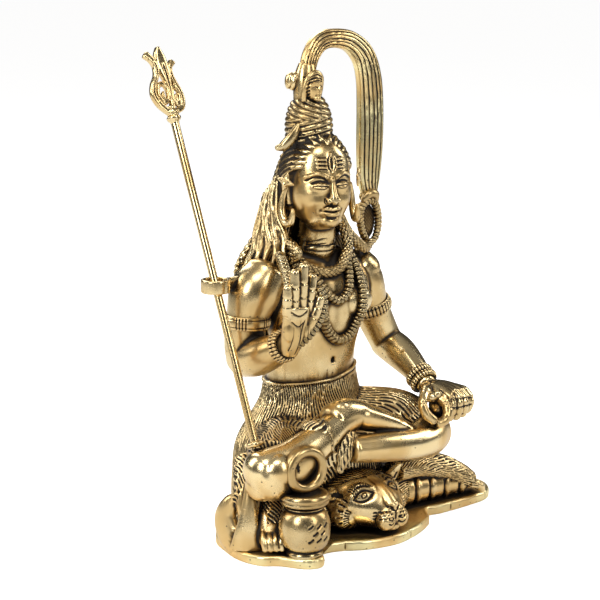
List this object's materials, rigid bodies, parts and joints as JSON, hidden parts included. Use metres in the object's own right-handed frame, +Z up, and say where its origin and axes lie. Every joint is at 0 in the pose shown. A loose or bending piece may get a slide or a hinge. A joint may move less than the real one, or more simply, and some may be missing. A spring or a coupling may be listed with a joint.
{
  "type": "shiva figure",
  "caption": "Cast brass figure of Shiva seated cross-legged on a tiger skin, with a water pot, a cobra, a stream of water from the hair and a loose trident.",
  "frame": {"origin": "on the underside of the base plate, below the middle of the seated body", "axes": "+Z up, the figure faces -Y, so its raised right hand and the trident are on the -X side"},
  "size_m": [0.1667, 0.1025, 0.2338],
  "materials": {
    "figure_brass": "polished on the raised parts, dark brown patina in the recesses",
    "trident_brass": "polished, dark in the corners"
  },
  "bodies": {
    "root": {"figure": "figure_brass", "trident": "trident_brass"}
  },
  "joints": []
}
